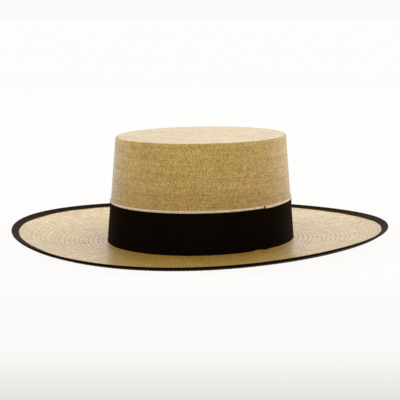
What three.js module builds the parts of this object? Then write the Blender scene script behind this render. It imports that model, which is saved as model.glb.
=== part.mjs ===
// A cordobes hat: a straw hat with a low, flat-topped crown and a wide brim that curls up
// at its edge, higher at the sides than at the front and back. Crown and brim are woven in
// one piece. A black ribbon runs round the crown and laps over itself, a narrow cream piping
// lies along the ribbon's upper edge, and a black ribbon is folded over the edge of the brim.
//
// Millimetres, +Z up. The front of the hat looks along -Y and the wearer's left is +X.
// The flat inner ring of the brim rests on z = 0, and the z axis runs up the middle of the
// head opening.
//
// The hat is laid out on a round blank, with a radius and a height for every point, and
// press() then blocks the blank to a head: see there.

import * as THREE from "three";

// Crown
const CROWN_HEIGHT = 100; // flat top above the surface that the hat rests on
const CROWN_TOP_RADIUS = 85.8; // middle of the straw, on the blank, where the wall meets the top
const CROWN_FOOT_RADIUS = 94.2; // the same where the wall meets the brim
const TOP_EDGE_RADIUS = 1.3; // rounding of the crown's upper edge, on the middle of the straw
const FOOT_BEND_RADIUS = 1.4; // bend from the crown's wall into the brim

// Oval of the head: the round blank is pressed in at the sides and drawn out front to back
const ACROSS = 0.918;
const ALONG = 1.1;

// Brim
const BRIM_WIDTH = 90; // from the crown's wall to the outside of the binding, all round
const CURL_RISE = 9.4; // mean height that the slow curl of the brim gives its edge
const SIDE_LIFT = 4.1; // by which the edge is higher at the sides and lower at front and back
const FLAT_SHARE = 0.2; // inner share of the brim's width that lies flat
const CURL_POWER = 2.15; // how late the brim curls up: 1 would be a straight slope
const TURNED_RISE = 1.6; // height added where the very edge is turned up
const TURNED_SHARE = 0.1; // outer share of the brim's width that is turned up

// Materials of the walls
const STRAW = 1.2; // thickness of the woven straw
const RIBBON = 1; // thickness of the ribbons
const GAP = 0.35; // clearance between neighbouring pieces

// Trimmings
const BINDING_WIDTH = 6.2; // of the folded ribbon, on each side of the brim
const BAND_BOTTOM = 1.9; // lower edge of the hat band above z = 0
const BAND_WIDTH = 36.9; // height of the hat band
const PIPING_WIDTH = 1.9; // height of the piping
const LAP_ANGLE = -26; // degrees from +X, where the band's upper end stops: left of the front
const LAP_HIDDEN = 8; // degrees of the band's lower end that lie under the upper end
const LAP_RAMP = 9; // degrees over which the upper end climbs on to the lower one
const PIPING_BREAK = 0.6; // degrees that the piping stops short of the lap, on either side

// Fineness of the faceted surfaces
const ROUND_STEPS = 80; // round the hat, a multiple of four
const BEND_STEPS = 4; // of each rounded bend of the straw
const CURL_STEPS = 7; // across the curled part of the brim, up to the binding
const BINDING_STEPS = 3; // across the folded ribbon
const FOLD_STEPS = 4; // round the fold of the binding
const BAND_STEPS = 112; // along the band and the piping

const BRIM_LEVEL = STRAW / 2; // middle of the straw where the brim lies flat
const EDGE_HALF_THICKNESS = STRAW / 2 + GAP + RIBBON; // of the bound edge
const BRIM_START = CROWN_FOOT_RADIUS + STRAW / 2; // outside of the crown's wall at the brim
const STRAW_EDGE = BRIM_START + BRIM_WIDTH - EDGE_HALF_THICKNESS; // where the straw ends
const BINDING_START = BRIM_START + BRIM_WIDTH - BINDING_WIDTH; // inner edge of the binding
const LAYER = RIBBON + GAP; // by which the band's upper end stands off its lower end

const strawMaterial = new THREE.MeshStandardMaterial({
  name: "straw",
  color: "#dcc592",
  roughness: 0.75,
  metalness: 0,
});
const ribbonMaterial = new THREE.MeshStandardMaterial({
  name: "black_ribbon",
  color: "#15120f",
  roughness: 0.6,
  metalness: 0,
});
const bindingMaterial = new THREE.MeshStandardMaterial({
  name: "black_binding",
  color: "#191614",
  roughness: 0.55,
  metalness: 0,
});
const pipingMaterial = new THREE.MeshStandardMaterial({
  name: "cream_piping",
  color: "#e9dccb",
  roughness: 0.7,
  metalness: 0,
});

// ---------------------------------------------------------------- section of the straw

// A station is a point on the middle line of the straw, with the direction in which the
// line runs there: 0 is outwards and -90 degrees is down.
function station(radius, height, heading) {
  return { radius, height, heading };
}

// The point that lies a distance off a station, on the upper or outer side of the straw.
function besideStation({ radius, height, heading }, distance) {
  return new THREE.Vector2(
    radius - Math.sin(heading) * distance,
    height + Math.cos(heading) * distance,
  );
}

// Stations round a bend of the given radius, between two headings, that replaces the
// sharp corner at (radius, height).
function bend(radius, height, bendRadius, headingIn, headingOut, steps) {
  const turn = headingOut - headingIn;
  const side = Math.sign(turn);
  const setback = bendRadius * Math.tan(Math.abs(turn) / 2);
  const startRadius = radius - Math.cos(headingIn) * setback;
  const startHeight = height - Math.sin(headingIn) * setback;
  const centreRadius = startRadius - Math.sin(headingIn) * bendRadius * side;
  const centreHeight = startHeight + Math.cos(headingIn) * bendRadius * side;
  const stations = [];
  for (let i = 0; i <= steps; i += 1) {
    const heading = headingIn + (turn * i) / steps;
    stations.push(
      station(
        centreRadius + Math.sin(heading) * bendRadius * side,
        centreHeight - Math.cos(heading) * bendRadius * side,
        heading,
      ),
    );
  }
  return stations;
}

// Share of the curl's rise that the brim has reached at a share of its width.
function curl(share) {
  const curled = Math.max(0, (share - FLAT_SHARE) / (1 - FLAT_SHARE));
  return curled ** CURL_POWER;
}

// Steepness of curl(), per share of the width.
function curlSlope(share) {
  const curled = Math.max(0, (share - FLAT_SHARE) / (1 - FLAT_SHARE));
  return (CURL_POWER * curled ** (CURL_POWER - 1)) / (1 - FLAT_SHARE);
}

// Share of the turned edge's rise at a share of the width, and its steepness.
function turnedUp(share) {
  return Math.max(0, (share - 1 + TURNED_SHARE) / TURNED_SHARE) ** 2;
}

function turnedUpSlope(share) {
  return (2 * Math.max(0, share - 1 + TURNED_SHARE)) / TURNED_SHARE ** 2;
}

function brimStation(radius) {
  const share = (radius - BRIM_START) / BRIM_WIDTH;
  const rise = CURL_RISE * curl(share) + TURNED_RISE * turnedUp(share);
  const slope =
    (CURL_RISE * curlSlope(share) + TURNED_RISE * turnedUpSlope(share)) / BRIM_WIDTH;
  return station(radius, BRIM_LEVEL + rise, Math.atan(slope));
}

// Stations on the brim between two radii, both included.
function brimStations(fromRadius, toRadius, steps) {
  const stations = [];
  for (let i = 0; i <= steps; i += 1) {
    stations.push(brimStation(THREE.MathUtils.lerp(fromRadius, toRadius, i / steps)));
  }
  return stations;
}

// The whole middle line, from the axis over the crown and down to the edge of the brim.
function strawLine() {
  const top = CROWN_HEIGHT - STRAW / 2;
  const wallHeading = Math.atan2(
    BRIM_LEVEL - top,
    CROWN_FOOT_RADIUS - CROWN_TOP_RADIUS,
  );
  const curlStart = BRIM_START + BRIM_WIDTH * FLAT_SHARE;
  return [
    station(0, top, 0),
    station(CROWN_TOP_RADIUS / 2, top, 0),
    ...bend(CROWN_TOP_RADIUS, top, TOP_EDGE_RADIUS, 0, wallHeading, BEND_STEPS),
    ...bend(
      CROWN_FOOT_RADIUS,
      BRIM_LEVEL,
      FOOT_BEND_RADIUS,
      wallHeading,
      0,
      BEND_STEPS,
    ),
    ...brimStations(curlStart, BINDING_START, CURL_STEPS),
    ...brimStations(BINDING_START, STRAW_EDGE, BINDING_STEPS).slice(1),
  ];
}

// ------------------------------------------------------------------------ blank to hat

// Blocks a round blank to a head. Up to the foot of the crown the round is stretched to an
// oval; beyond it the brim is laid out square to that oval, so that it is as wide at the
// sides as at the front. The brim's edge is then lifted at the sides and let down at the
// front and back.
function press(geometry) {
  const position = geometry.getAttribute("position");
  for (let i = 0; i < position.count; i += 1) {
    const radius = Math.hypot(position.getX(i), position.getY(i));
    const angle = Math.atan2(position.getY(i), position.getX(i));
    const onCrown = Math.min(radius, BRIM_START);
    const onBrim = radius - onCrown;
    const outwards = new THREE.Vector2(
      Math.cos(angle) / ACROSS,
      Math.sin(angle) / ALONG,
    ).normalize();
    position.setXYZ(
      i,
      onCrown * ACROSS * Math.cos(angle) + onBrim * outwards.x,
      onCrown * ALONG * Math.sin(angle) + onBrim * outwards.y,
      position.getZ(i) + SIDE_LIFT * Math.cos(2 * angle) * curl(onBrim / BRIM_WIDTH),
    );
  }
  geometry.computeVertexNormals();
  return geometry;
}

// Turns a section of the blank once round the z axis and presses it to shape.
function pressedRound(section) {
  const geometry = new THREE.LatheGeometry(section, ROUND_STEPS);
  geometry.rotateX(Math.PI / 2);
  return press(geometry);
}

// -------------------------------------------------------------------------- the pieces

function crownAndBrim() {
  const line = strawLine();
  const inside = line.map((s) => besideStation(s, -STRAW / 2));
  const outside = line.map((s) => besideStation(s, STRAW / 2));
  const mesh = new THREE.Mesh(
    pressedRound([...inside, ...outside.reverse()]),
    strawMaterial,
  );
  mesh.name = "crown_and_brim";
  return mesh;
}

// The ribbon folded over the edge: a U in section, open towards the crown.
function brimBinding() {
  const run = brimStations(BINDING_START, STRAW_EDGE, BINDING_STEPS);
  const back = [...run].reverse();
  const edge = run[run.length - 1];
  const fold = [];
  for (let i = 1; i < FOLD_STEPS; i += 1) {
    const angle = edge.heading - Math.PI / 2 + (Math.PI * i) / FOLD_STEPS;
    fold.push(
      new THREE.Vector2(
        edge.radius + EDGE_HALF_THICKNESS * Math.cos(angle),
        edge.height + EDGE_HALF_THICKNESS * Math.sin(angle),
      ),
    );
  }
  const clear = STRAW / 2 + GAP;
  const pastEdge = station(
    edge.radius + GAP * Math.cos(edge.heading),
    edge.height + GAP * Math.sin(edge.heading),
    edge.heading,
  );
  const section = [
    ...run.map((s) => besideStation(s, -EDGE_HALF_THICKNESS)),
    ...fold,
    ...back.map((s) => besideStation(s, EDGE_HALF_THICKNESS)),
    ...run.slice(0, -1).map((s) => besideStation(s, clear)),
    besideStation(pastEdge, clear),
    besideStation(pastEdge, -clear),
    ...back.slice(1).map((s) => besideStation(s, -clear)),
  ];
  section.push(section[0].clone());
  const mesh = new THREE.Mesh(pressedRound(section), bindingMaterial);
  mesh.name = "brim_binding";
  return mesh;
}

// By how much the band stands off the crown's wall at an angle: on the wall for most of the
// way round, then climbing on to its own lower end, which starts LAP_HIDDEN before the lap.
function bandStandOff(angle) {
  const layerStart = LAP_ANGLE + 360 - LAP_HIDDEN - 1;
  return GAP + LAYER * THREE.MathUtils.smoothstep(angle, layerStart - LAP_RAMP, layerStart);
}

// A strip that lies against the crown's wall between two angles, with its lower edge at
// the given height.
function crownStrip(fromAngle, toAngle, bottom, width) {
  const wallFoot = CROWN_FOOT_RADIUS + STRAW / 2;
  const inner = [];
  const outer = [];
  for (let i = 0; i <= BAND_STEPS; i += 1) {
    const degrees = THREE.MathUtils.lerp(fromAngle, toAngle, i / BAND_STEPS);
    const angle = THREE.MathUtils.degToRad(degrees);
    const direction = new THREE.Vector2(Math.cos(angle), Math.sin(angle));
    const radius = wallFoot + bandStandOff(degrees);
    inner.push(direction.clone().multiplyScalar(radius));
    outer.push(direction.clone().multiplyScalar(radius + RIBBON));
  }
  const outline = new THREE.Shape([...outer, ...inner.reverse()]);
  const geometry = new THREE.ExtrudeGeometry(outline, {
    depth: width,
    bevelEnabled: false,
  });
  geometry.translate(0, 0, bottom);
  leanOnWall(geometry);
  return press(geometry);
}

// Leans an upright strip in, so that it follows the taper of the crown.
function leanOnWall(geometry) {
  const taper =
    (CROWN_FOOT_RADIUS - CROWN_TOP_RADIUS) / (CROWN_HEIGHT - STRAW / 2 - BRIM_LEVEL);
  const position = geometry.getAttribute("position");
  for (let i = 0; i < position.count; i += 1) {
    const radius = Math.hypot(position.getX(i), position.getY(i));
    const inwards = taper * (position.getZ(i) - BRIM_LEVEL);
    const scale = (radius - inwards) / radius;
    position.setXY(i, position.getX(i) * scale, position.getY(i) * scale);
  }
}

function hatBand() {
  const geometry = crownStrip(
    LAP_ANGLE - LAP_HIDDEN,
    LAP_ANGLE + 360,
    BAND_BOTTOM,
    BAND_WIDTH,
  );
  const mesh = new THREE.Mesh(geometry, ribbonMaterial);
  mesh.name = "hat_band";
  return mesh;
}

function bandPiping() {
  const geometry = crownStrip(
    LAP_ANGLE + PIPING_BREAK,
    LAP_ANGLE + 360 - PIPING_BREAK,
    BAND_BOTTOM + BAND_WIDTH + GAP,
    PIPING_WIDTH,
  );
  const mesh = new THREE.Mesh(geometry, pipingMaterial);
  mesh.name = "band_piping";
  return mesh;
}

const hat = new THREE.Group();
hat.name = "cordobes_hat";
hat.add(crownAndBrim(), brimBinding(), hatBand(), bandPiping());

export default hat;
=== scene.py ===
"""The looks of a cordobes hat: woven straw, a black ribbon band with a cream piping, and a
black ribbon bound round the edge of the brim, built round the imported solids.

Laid out as an add-on and run as a script. All lengths are metres, in the frame of the
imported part: +Z up, the front of the hat towards -Y, the surface it rests on at z = 0.
"""

import math

import bpy
import numpy as np
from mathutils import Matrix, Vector


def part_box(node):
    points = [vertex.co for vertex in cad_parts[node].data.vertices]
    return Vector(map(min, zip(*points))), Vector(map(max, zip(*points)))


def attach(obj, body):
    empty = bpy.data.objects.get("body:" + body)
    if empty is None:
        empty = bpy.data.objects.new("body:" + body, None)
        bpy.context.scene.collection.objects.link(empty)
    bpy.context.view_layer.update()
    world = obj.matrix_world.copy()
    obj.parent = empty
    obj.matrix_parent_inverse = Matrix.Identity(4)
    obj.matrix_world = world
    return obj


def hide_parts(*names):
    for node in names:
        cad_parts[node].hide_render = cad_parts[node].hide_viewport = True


bl_info = {
    "name": "Cordobes Hat",
    "version": (1, 0, 0),
    "blender": (4, 5, 0),
    "location": "3D View > Sidebar > Hat",
    "description": "Builds a straw cordobes hat with its ribbons, and the stage it stands on",
    "category": "Mesh",
}

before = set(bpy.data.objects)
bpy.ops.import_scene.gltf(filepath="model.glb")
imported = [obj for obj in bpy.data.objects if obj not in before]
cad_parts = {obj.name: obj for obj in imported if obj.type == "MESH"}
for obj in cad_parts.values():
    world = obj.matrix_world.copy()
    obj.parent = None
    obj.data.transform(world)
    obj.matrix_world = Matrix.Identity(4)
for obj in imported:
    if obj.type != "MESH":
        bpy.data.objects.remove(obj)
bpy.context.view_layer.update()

MM = 0.001
HAIR = 0.01 * MM
ROUNDING = 1e-7
FULL_TURN = 2 * math.pi
STRAW_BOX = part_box("crown_and_brim")
BINDING_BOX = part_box("brim_binding")
BAND_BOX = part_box("hat_band")
PIPING_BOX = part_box("band_piping")

# ------------------------------------------------------------------ sizes and colours


def length(name, description, default):
    """A property that holds a length in metres."""
    return bpy.props.FloatProperty(
        name=name, description=description, default=default, unit="LENGTH", precision=5
    )


def angle(name, description, degrees):
    """A property that holds an angle, given in degrees and kept in radians."""
    return bpy.props.FloatProperty(
        name=name, description=description, default=math.radians(degrees), subtype="ANGLE"
    )


def number(name, description, default, unit="NONE"):
    """A property that holds a plain number, or one in the given kind of unit."""
    return bpy.props.FloatProperty(name=name, description=description, default=default, unit=unit)


def count(name, description, default):
    """A property that holds a whole number."""
    return bpy.props.IntProperty(name=name, description=description, default=default, min=1)


def colour(name, description, default):
    """A property that holds a linear colour."""
    return bpy.props.FloatVectorProperty(
        name=name, description=description, default=default, size=3, subtype="COLOR",
        min=0, max=1,
    )


class HatBlock(bpy.types.PropertyGroup):
    """The block that the straw is pressed on: a round blank stretched to the head's oval."""

    brim_width: length("Brim width", "From the crown to the outside of the binding", 90 * MM)
    across: number("Across", "Stretch of the round blank from side to side", 0.918)
    along: number("Along", "Stretch of the round blank from front to back", 1.1)
    taper: length("Taper", "By which the crown is narrower at its top than at its foot", 8.4 * MM)
    top_bend: length("Top bend", "Rounding of the crown's upper edge", 1.3 * MM)
    foot_bend: length("Foot bend", "Rounding where the crown meets the brim", 1.4 * MM)
    curl_rise: length("Curl rise", "Mean height that the slow curl gives the brim's edge", 9.4 * MM)
    side_lift: length("Side lift", "By which the sides rise and the front and back dip", 4.1 * MM)
    flat_share: number("Flat share", "Inner share of the brim's width that lies flat", 0.2)
    curl_power: number("Curl power", "How late the brim curls up", 2.15)
    turned_rise: length("Turned rise", "Height added where the very edge turns up", 1.6 * MM)
    turned_share: number("Turned share", "Outer share of the brim's width that turns up", 0.1)
    crown_tilt: length("Crown tilt", "Extra height of its edge at the wearer's left", 0.45 * MM)
    sway: length("Sway", "Unevenness of the brim's edge, twice round the hat", 0.28 * MM)
    ripple: length("Ripple", "Unevenness of the brim's edge, three times round", -0.42 * MM)
    flutter: length("Flutter", "Unevenness of the brim's edge, four times round", -0.28 * MM)
    back_rise: length("Back rise", "By which the brim's edge stands higher near the back", 1.2 * MM)
    back_turn: angle("Back turn", "Where the edge stands highest, from +X", 85)
    back_reach: angle("Back reach", "How far that rise reaches to each side", 23)


class StrawLook(bpy.types.PropertyGroup):
    """The woven straw."""

    thickness: length("Thickness", "Of the woven wall", 1.2 * MM)
    crown_row: length("Crown row", "Height of one woven row on the crown", 3.3 * MM)
    brim_row: length("Brim row", "Width of one woven row on the brim", 4.5 * MM)
    strand: length("Strand", "Width of a strand", 0.82 * MM)
    relief: length("Relief", "By which a row swells between its two edges", 0.05 * MM)
    steps: count("Steps", "Facets of the straw round the hat", 200)
    edge_inset: length("Edge inset", "From the outside of the binding to the straw", 1.2 * MM)
    pale: colour("Pale straw", "Lightest strands", (0.668, 0.468, 0.115))
    golden: colour("Golden straw", "Common strands", (0.490, 0.310, 0.043))
    brown: colour("Brown straw", "Darkest strands", (0.288, 0.155, 0.010))
    # Colour of the painted shade in the gaps between strands, also used for the dotted lines
    # between rows
    gap: colour("Gap", "Between two strands and between two rows", (0.17, 0.10, 0.014))
    # Painted shade: the crown is darker low down, just above the band, where the brim shades it
    low_crown_shade: colour("Painted_shade_on_crown", "Tint of the crown just above the band", (0.86, 0.79, 0.60))
    # Painted shade: the brim is darker round the band's foot, where the crown and the black band
    # shade it
    band_foot_shade: colour("Painted_shade_by_band", "Tint of the brim near the band", (0.94, 0.825, 0.74))
    # Strength of the painted shade in the gaps between strands
    gap_shade: number("Gap shade", "How dark the gaps between strands are", 0.56)
    crown_line: number("Crown line", "How dark the lines between the crown's rows are", 0.08)
    brim_line: number("Brim line", "How dark the lines between the brim's rows are", 0.85)
    roughness: number("Roughness", "Of the straw's skin", 0.41)
    coat: number("Coat", "Least strength of the gloss over the straw", 0.08)


class RibbonLook(bpy.types.PropertyGroup):
    """The three ribbons."""

    thickness: length("Thickness", "Of the grosgrain ribbon", 0.34 * MM)
    tape: length("Tape", "Thickness of the piping", 0.4 * MM)
    rib: length("Rib", "Distance between two ribs of the grosgrain", 0.75 * MM)
    binding_width: length("Binding width", "Of the folded ribbon on each side", 6.2 * MM)
    binding_steps: count("Binding steps", "Facets of the binding round the hat", 320)
    lap_angle: angle("Lap angle", "Where the band's upper end stops, from +X", -27.8)
    lap_hidden: angle("Lap hidden", "Part of the lower end under the upper end", 8)
    stitch: length("Stitch", "Length of a stitch of the binding", 2.1 * MM)
    stitch_gap: length("Stitch gap", "Between two stitches of the binding", 1.3 * MM)
    stitch_inset: length("Stitch inset", "From the binding's edge to its stitches", 1.1 * MM)
    thread: length("Thread", "Thickness of the sewing thread", 0.32 * MM)
    waver: length("Waver", "By which the edge of the binding wanders", 0.22 * MM)
    loose: length("Loose", "By which the folded binding stands off the straw", 0.15 * MM)
    hem: length("Hem", "Ribbon folded under at the band's upper end", 6 * MM)
    tab: length("Tab", "By which the hem's corner stands up over the band's edge", 2.3 * MM)
    lift: length("Lift", "By which the band's lower edge is higher just before the lap", 0.85 * MM)
    tilt: length("Tilt", "By which the band is higher at the wearer's left", 0.35 * MM)
    sunk: length("Sunk", "By which the band's upper edge sinks just past the lap", 0.55 * MM)
    piping_flare: number("Piping flare", "Share by which the piping is wider past the lap", 0.25)
    flare_reach: angle("Flare reach", "From the lap to where the piping has its own width", 45)
    piping_bulge: length("Piping bulge", "By which the piping's middle stands off", 0.6 * MM)
    roughness: number("Roughness", "Of the three ribbons", 0.6)
    black: colour("Black ribbon", "Ribbon of the band", (0.0055, 0.0035, 0.0019))
    brown_black: colour("Brown-black ribbon", "Ribbon of the binding", (0.011, 0.003, 0.0014))
    cream: colour("Cream tape", "Tape of the piping", (0.715, 0.575, 0.415))


class StageLook(bpy.types.PropertyGroup):
    """The floor, the light and the camera."""

    floor_radius: length("Floor radius", "Of the round floor", 30)
    camera_azimuth: angle("Camera azimuth", "Round the hat from its front", 17.35)
    camera_distance: length("Camera distance", "From the hat's axis, along the floor", 1.289)
    camera_height: length("Camera height", "Above the floor", 0.2157)
    aim_height: length("Aim height", "Of the point that the camera looks at", 37.135 * MM)
    aim_aside: length("Aim aside", "By which that point lies left of the hat's axis", 1.314 * MM)
    focal: number("Focal length", "Of the camera, in millimetres", 122.53, "CAMERA")
    ambient: number("Ambient", "Strength of the white surroundings", 0.955)
    key: number("Key", "Of the light above and behind the hat, in watts", 14, "POWER")
    side: number("Side", "Of the low light behind the wearer's left, in watts", 9.5, "POWER")


# --------------------------------------------------------------- shape of the blocked hat


class Block:
    """Works out where a point of the round blank lies on the finished hat."""

    def __init__(self, sizes, straw):
        self.sizes = sizes
        foot_along = BINDING_BOX[1].y - sizes.brim_width
        self.brim_start = foot_along / sizes.along
        self.foot = self.brim_start - straw.thickness / 2
        self.top_radius = self.foot - sizes.taper
        self.top = STRAW_BOX[1].z - straw.thickness / 2
        self.brim_level = straw.thickness / 2
        self.edge = self.brim_start + sizes.brim_width

    def curl(self, width_share):
        """Share of the curl's rise that the brim has reached at a share of its width."""
        flat = self.sizes.flat_share
        return np.maximum(0, (width_share - flat) / (1 - flat)) ** self.sizes.curl_power

    def turned_up(self, width_share):
        """Share of the turned edge's rise at a share of the brim's width."""
        outer = self.sizes.turned_share
        return np.maximum(0, (width_share - 1 + outer) / outer) ** 2

    def brim_height(self, radius):
        """Height of the middle of the straw on the brim, on the blank."""
        width_share = (radius - self.brim_start) / self.sizes.brim_width
        curled = self.sizes.curl_rise * self.curl(width_share)
        return self.brim_level + curled + self.sizes.turned_rise * self.turned_up(width_share)

    def brim_point(self, radius, off=0.0):
        """A point of the brim, a distance off the middle of the straw on its upper side."""
        rise = float(self.brim_height(radius + HAIR) - self.brim_height(radius - HAIR))
        heading = math.atan2(rise, 2 * HAIR)
        height = float(self.brim_height(radius))
        return radius - math.sin(heading) * off, height + math.cos(heading) * off

    def wall_radius(self, height):
        """Middle of the straw of the crown's wall at a height, on the blank."""
        share_up = (height - self.brim_level) / (self.top - self.brim_level)
        return self.foot - self.sizes.taper * share_up

    def press(self, points):
        """Moves points of the blank, an array of rows x, y, z, to the finished hat."""
        radius, turn = polar(points)
        on_crown = np.minimum(radius, self.brim_start)
        on_brim = radius - on_crown
        out_x = np.cos(turn) / self.sizes.across
        out_y = np.sin(turn) / self.sizes.along
        size = np.hypot(out_x, out_y)
        lift = self.sizes.side_lift * np.cos(2 * turn) + self.sizes.sway * np.sin(2 * turn)
        lift += self.sizes.ripple * np.sin(3 * turn) + self.sizes.flutter * np.cos(4 * turn)
        from_back = (turn - self.sizes.back_turn) / self.sizes.back_reach
        lift += self.sizes.back_rise * np.exp(-from_back * from_back)
        above_half = 2 * np.clip(points[:, 2] / self.top - 0.5, 0, 1) * (on_brim <= 0)
        tilt = self.sizes.crown_tilt * on_crown / self.top_radius * np.cos(turn)
        return np.column_stack((
            on_crown * self.sizes.across * np.cos(turn) + on_brim * out_x / size,
            on_crown * self.sizes.along * np.sin(turn) + on_brim * out_y / size,
            points[:, 2] + lift * self.curl(on_brim / self.sizes.brim_width)
            + above_half * tilt,
        ))


def bend(corner, before, after, radius, steps):
    """Points round a bend of the given radius that takes the place of a sharp corner."""
    corner, before, after = Vector(corner), Vector(before), Vector(after)
    back = (before - corner).normalized()
    on = (after - corner).normalized()
    half = back.angle(on) / 2
    centre = corner + (back + on).normalized() * radius / math.sin(half)
    first = corner + back * radius / math.tan(half) - centre
    last = corner + on * radius / math.tan(half) - centre
    sweep = math.atan2(first.cross(last), first.dot(last))
    points = []
    for i in range(steps + 1):
        turn = math.atan2(first.y, first.x) + sweep * i / steps
        points.append((centre.x + radius * math.cos(turn), centre.y + radius * math.sin(turn)))
    return points


# ------------------------------------------------------------------- modelling by hand


def open_piece(name):
    """Names the new primitive, puts its place in its mesh and opens it with all selected."""
    piece = bpy.context.object
    piece.name = name
    piece.data.name = name
    bpy.ops.object.transform_apply(location=True, rotation=True, scale=True)
    bpy.ops.object.mode_set(mode="EDIT")
    bpy.ops.mesh.select_all(action="SELECT")
    return piece


def close_piece():
    """Turns all faces of the open piece the same way and closes it."""
    bpy.ops.mesh.select_all(action="SELECT")
    bpy.ops.mesh.normals_make_consistent(inside=False)
    bpy.ops.object.mode_set(mode="OBJECT")


def start_line(name, at):
    """Adds a plane and shrinks it to one point, which is the start of a drawn line."""
    bpy.ops.object.select_all(action="DESELECT")
    bpy.ops.mesh.primitive_plane_add(size=MM, location=at)
    piece = open_piece(name)
    bpy.ops.mesh.merge(type="CENTER")
    return piece


def draw_line(points):
    """Extrudes the selected point through the given points, one after the other."""
    here = Vector(points[0])
    for point in points[1:]:
        step = Vector(point) - here
        bpy.ops.mesh.extrude_region_move(TRANSFORM_OT_translate={"value": step})
        here += step


def turned_piece(name, section, steps):
    """Draws a section of (radius, height) and spins it once round the upright axis."""
    points = [(radius, 0, height) for radius, height in section]
    piece = start_line(name, points[0])
    draw_line(points)
    bpy.ops.mesh.select_all(action="SELECT")
    bpy.ops.mesh.spin(steps=steps, angle=FULL_TURN, center=(0, 0, 0), axis=(0, 0, 1))
    bpy.ops.mesh.select_all(action="SELECT")
    bpy.ops.mesh.remove_doubles(threshold=HAIR / 2)
    close_piece()
    return piece


def raised_piece(name, plan, heights):
    """Draws a line in plan and extrudes it upwards through the given heights."""
    piece = start_line(name, (*plan[0], heights[0]))
    draw_line([(x, y, heights[0]) for x, y in plan])
    bpy.ops.mesh.select_all(action="SELECT")
    for low, high in zip(heights, heights[1:]):
        bpy.ops.mesh.extrude_edges_move(TRANSFORM_OT_translate={"value": (0, 0, high - low)})
    close_piece()
    return piece


def values_of(items, name, width=1, kind=float):
    """One property of all of a mesh's vertices, corners or faces, width numbers to a row."""
    flat = np.empty(len(items) * width, dtype=kind)
    items.foreach_get(name, flat)
    return flat.reshape(-1, width) if width > 1 else flat


def points_of(piece):
    """The places of a mesh's vertices, as rows x, y, z."""
    return values_of(piece.data.vertices, "co", 3)


def polar(points):
    """How far each point is from the upright axis, and its turn from +X."""
    return np.hypot(points[:, 0], points[:, 1]), np.arctan2(points[:, 1], points[:, 0])


def move_points(piece, points):
    """Puts the vertices of a mesh at new places."""
    piece.data.vertices.foreach_set("co", points.ravel())
    piece.data.update()


def face_outwards(piece, outwards):
    """Turns the faces over if most of them look against the wanted directions."""
    faces = piece.data.polygons
    wanted = outwards(values_of(faces, "center", 3))
    if np.sum(values_of(faces, "normal", 3) * wanted) < 0:
        piece.data.flip_normals()


def corner_table(piece):
    """For each face corner: its vertex, and the face that it belongs to."""
    loops = values_of(piece.data.loops, "vertex_index", kind=int)
    sizes = values_of(piece.data.polygons, "loop_total", kind=int)
    return loops, np.repeat(np.arange(len(sizes)), sizes)


def face_means(values, faces):
    """Mean of a value over the corners of each face, given back for each corner."""
    totals = np.bincount(faces, weights=values)
    return (totals / np.bincount(faces))[faces]


def nearest_station(points, section):
    """For each point, the number of the section's (radius, height) that it was turned from."""
    stations = np.array(section)
    radius, _ = polar(points)
    gaps = np.abs(radius[:, None] - stations[None, :, 0])
    gaps += np.abs(points[:, 2, None] - stations[None, :, 1])
    return np.argmin(gaps, axis=1)


def lengths_along(line):
    """How far along a line of points each of them lies."""
    steps = np.hypot(*np.diff(line, axis=0).T)
    return np.concatenate(([0], np.cumsum(steps)))


def corner_turns(piece, loops, faces):
    """Share of a full turn at each corner, unbroken across a face; at a pole, the face's own."""
    points = points_of(piece)
    x, y = points[loops, 0], points[loops, 1]
    centre = np.arctan2(face_means(y, faces), face_means(x, faces))
    turn = np.arctan2(y, x) - centre
    turn = (turn + math.pi) % FULL_TURN - math.pi
    at_pole = np.hypot(x, y) < HAIR
    turn[at_pole] = 0
    return (centre + turn) / FULL_TURN + 0.5


def lay_pattern(piece, name, u, v):
    """Writes a UV map that the piece's material reads, a row for each face corner."""
    layer = piece.data.uv_layers.new(name=name)
    layer.data.foreach_set("uv", np.column_stack((u, v)).ravel())


def give_wall(piece, thickness, offset):
    """Gives a sheet its thickness; offset 0 is to both sides and -1 all to the inside."""
    wall = piece.modifiers.new("wall", "SOLIDIFY")
    wall.thickness = thickness
    wall.offset = offset
    wall.use_even_offset = True
    bpy.ops.object.modifier_apply(modifier=wall.name)


def dress_piece(piece, material, sharp):
    """Smooths a piece and gives it its material."""
    bpy.ops.object.shade_smooth_by_angle(angle=sharp)
    piece.data.materials.clear()
    piece.data.materials.append(material)
    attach(piece, "root")


def finish_piece(piece, material, node, sharp):
    """Dresses a piece and hides the solid that it stands for."""
    dress_piece(piece, material, sharp)
    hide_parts(node)


# A stitch from end to end: shares of its length forwards and of the thread upwards
STITCH_STEPS = ((0.12, 1.0), (0.38, 0.2), (0.38, -0.2), (0.12, -1.0))


def stitch_piece(name, place, out, along, reach, thread):
    """One stitch of six-sided thread, which comes up, runs along the ribbon and dips again."""
    out, along = Vector(out).normalized(), Vector(along).normalized()
    start = Vector(place) - along * reach / 2 - out * thread
    bpy.ops.object.select_all(action="DESELECT")
    bpy.ops.mesh.primitive_circle_add(
        vertices=6, radius=thread / 2, fill_type="NGON", location=start,
        rotation=along.to_track_quat("Z", "Y").to_euler(),
    )
    piece = open_piece(name)
    for forwards, upwards in STITCH_STEPS:
        step = along * reach * forwards + out * thread * upwards
        bpy.ops.mesh.extrude_region_move(TRANSFORM_OT_translate={"value": step})
    return piece


# ------------------------------------------------------------------------- materials


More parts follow.
